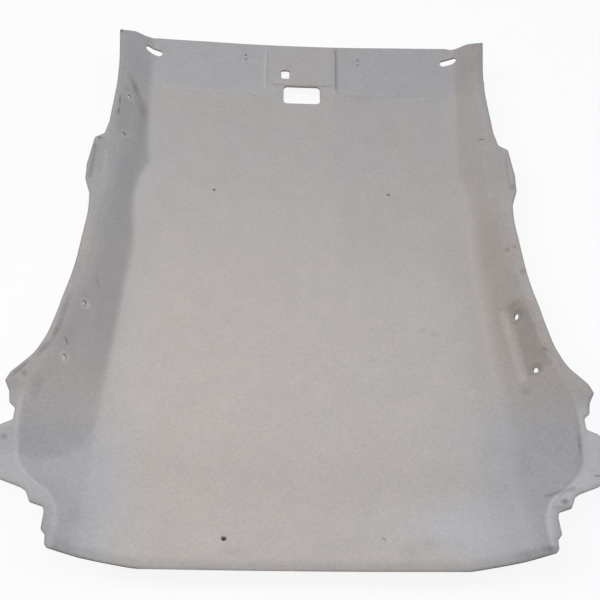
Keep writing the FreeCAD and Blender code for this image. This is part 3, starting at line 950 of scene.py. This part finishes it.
def fabric():
    """Grey knit with small specks, grubby places, and painted shade and highlights."""
    made = Nodes("knit_fabric", 0.95)
    made.shader.inputs["Sheen Weight"].default_value = 0.05
    tone = made.tinted(grain(made), specks(made), -0.35)
    tone = dirt_and_shade(made, shade_and_highlight_zones(made, tone))
    grey = made.add("ShaderNodeCombineColor")
    for socket in grey.inputs:
        made.put(socket, tone)
    mix = made.add("ShaderNodeMix", data_type="RGBA", blend_type="MULTIPLY")
    mix.inputs["Factor"].default_value = 1.0
    made.put(mix.inputs["A"], knit_colour(made))
    made.put(mix.inputs["B"], grey.outputs[0])
    made.put(made.shader.inputs["Base Color"], mix.outputs["Result"])
    made.bump(made.noise(0.0016, 2.0, 0.7), 0.0005)
    return made.material


def back_cloth():
    """Thin cloth bonded to the back."""
    made = Nodes("back_cloth", 0.9)
    fibre = made.noise(0.004, 4.0, 0.7, (1.0, 0.35, 1.0))
    colour = made.shades(fibre, srgb(150, 143, 132), srgb(176, 170, 158))
    made.put(made.shader.inputs["Base Color"], colour)
    made.bump(fibre, 0.0004)
    return made.material


def cut_edge():
    """Cut through the board, where its core shows."""
    made = Nodes("cut_edge", 0.9)
    crumbs = made.noise(0.002, 3.0, 0.7)
    colour = made.shades(crumbs, srgb(128, 122, 112), srgb(170, 163, 150))
    made.put(made.shader.inputs["Base Color"], colour)
    made.bump(crumbs, 0.0006)
    return made.material


def panel():
    mesh = panel_mesh()
    made = bpy.data.objects.new("moulded_panel", mesh)
    bpy.context.scene.collection.objects.link(made)
    for material in (fabric(), back_cloth(), cut_edge()):
        mesh.materials.append(material)
    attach(made, "root")
    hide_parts(node)
    return made


# How white the floor shows as a background, and the places under the small holes where its own
# shade is seen instead: x, y and radius
background_share = 0.9
shaded = [
    (-240.0, 244.0, 26.0), (240.0, 244.0, 26.0), (-162.0, -702.0, 26.0),
    (-544.0, -134.0, 42.0), (-568.0, -286.0, 38.0),
]


def background_ray(nodes, links):
    """1 where the background is seen, straight or through a shiny or clear surface."""
    seen = nodes.new("ShaderNodeLightPath")
    share = seen.outputs["Is Camera Ray"]
    for ray in ("Is Glossy Ray", "Is Transmission Ray"):
        larger = nodes.new("ShaderNodeMath")
        larger.operation = "MAXIMUM"
        links.new(share, larger.inputs[0])
        links.new(seen.outputs[ray], larger.inputs[1])
        share = larger.outputs[0]
    return share


def floor():
    """Pale floor that shows as white and keeps a faint shadow of the panel."""
    half = 6.0
    mesh = bpy.data.meshes.new("floor")
    mesh.from_pydata([(-half, -half, 0), (half, -half, 0), (half, half, 0), (-half, half, 0)],
                     [], [(0, 1, 2, 3)])
    thing = bpy.data.objects.new("floor", mesh)
    thing.location.z = -0.001
    bpy.context.scene.collection.objects.link(thing)
    made = Nodes("pale_floor", 1.0)
    made.shader.inputs["Base Color"].default_value = (0.85, 0.85, 0.85, 1.0)
    made.shader.inputs["Specular IOR Level"].default_value = 0.0
    seen = background_ray(made.tree.nodes, made.tree.links)
    white = made.maths("MULTIPLY", seen, background_share)
    for x, y, radius in shaded:
        open_floor = made.between(made.out_from(x, y, radius, radius), 0.8, 1.0)
        white = made.maths("MULTIPLY", white, open_floor)
    glow = made.add("ShaderNodeEmission")
    glow.inputs["Color"].default_value = (1.0, 1.0, 1.0, 1.0)
    mix = made.add("ShaderNodeMixShader")
    for socket, value in zip(mix.inputs, (white, made.shader.outputs[0], glow.outputs[0])):
        made.put(socket, value)
    made.put(made.tree.nodes["Material Output"].inputs["Surface"], mix.outputs[0])
    mesh.materials.append(made.material)


def world():
    made = bpy.data.worlds.new("studio")
    made.use_nodes = True
    nodes, links = made.node_tree.nodes, made.node_tree.links
    back = nodes["Background"]
    back.inputs["Strength"].default_value = ambient
    shown = nodes.new("ShaderNodeBackground")
    shown.inputs["Strength"].default_value = 1.0
    for background in (back, shown):
        background.inputs["Color"].default_value = (1.0, 1.0, 1.0, 1.0)
    mix = nodes.new("ShaderNodeMixShader")
    links.new(background_ray(nodes, links), mix.inputs[0])
    links.new(back.outputs[0], mix.inputs[1])
    links.new(shown.outputs[0], mix.inputs[2])
    links.new(mix.outputs[0], nodes["World Output"].inputs["Surface"])
    bpy.context.scene.world = made


def softbox(name, place, size, power, colour):
    light = bpy.data.lights.new(name, "AREA")
    light.shape = "DISK"
    light.size = size
    light.energy = power
    light.color = colour
    made = bpy.data.objects.new(name, light)
    made.location = place
    made.rotation_mode = "QUATERNION"
    made.rotation_quaternion = (-Vector(place)).to_track_quat("-Z", "Y")
    bpy.context.scene.collection.objects.link(made)


ambient = 0.075
image_width = 600.0
focal_pixels = 760.0
camera_place = Vector((-79.0, -1122.74, 1631.0)) * MM
camera_pitch = math.radians(58.0)
camera_yaw = math.radians(4.21)
camera_roll = math.radians(4.94)


def camera():
    """Camera held above the tailgate edge, looking down and forward."""
    lens = bpy.data.cameras.new("camera")
    lens.sensor_width = 36.0
    lens.lens = lens.sensor_width * focal_pixels / image_width
    lens.clip_start = 0.05
    lens.clip_end = 50.0
    sin_yaw, cos_yaw = math.sin(camera_yaw), math.cos(camera_yaw)
    sin_pitch, cos_pitch = math.sin(camera_pitch), math.cos(camera_pitch)
    sin_roll, cos_roll = math.sin(camera_roll), math.cos(camera_roll)
    ahead = Vector((sin_yaw * cos_pitch, cos_yaw * cos_pitch, -sin_pitch))
    level = Vector((cos_yaw, -sin_yaw, 0.0))
    upright = level.cross(ahead)
    right = cos_roll * level + sin_roll * upright
    up = -sin_roll * level + cos_roll * upright
    made = bpy.data.objects.new("camera", lens)
    axes = Matrix((right, up, -ahead)).transposed().to_4x4()
    made.matrix_world = Matrix.Translation(camera_place) @ axes
    bpy.context.scene.collection.objects.link(made)
    bpy.context.scene.camera = made


panel()
floor()
world()
softbox("overhead", (-0.2, -0.6, 1.5), 0.8, 8.6, (1.0, 0.98, 1.0))
softbox("left", (-3.0, 0.0, 3.5), 1.5, 84.0, (1.0, 0.97, 0.98))
softbox("right", (3.0, 0.0, 3.5), 1.5, 56.0, (0.82, 0.91, 1.0))
softbox("far", (0.0, 3.5, 3.0), 1.5, 46.0, (0.91, 0.99, 1.0))
camera()
bpy.context.scene.view_settings.view_transform = "Standard"
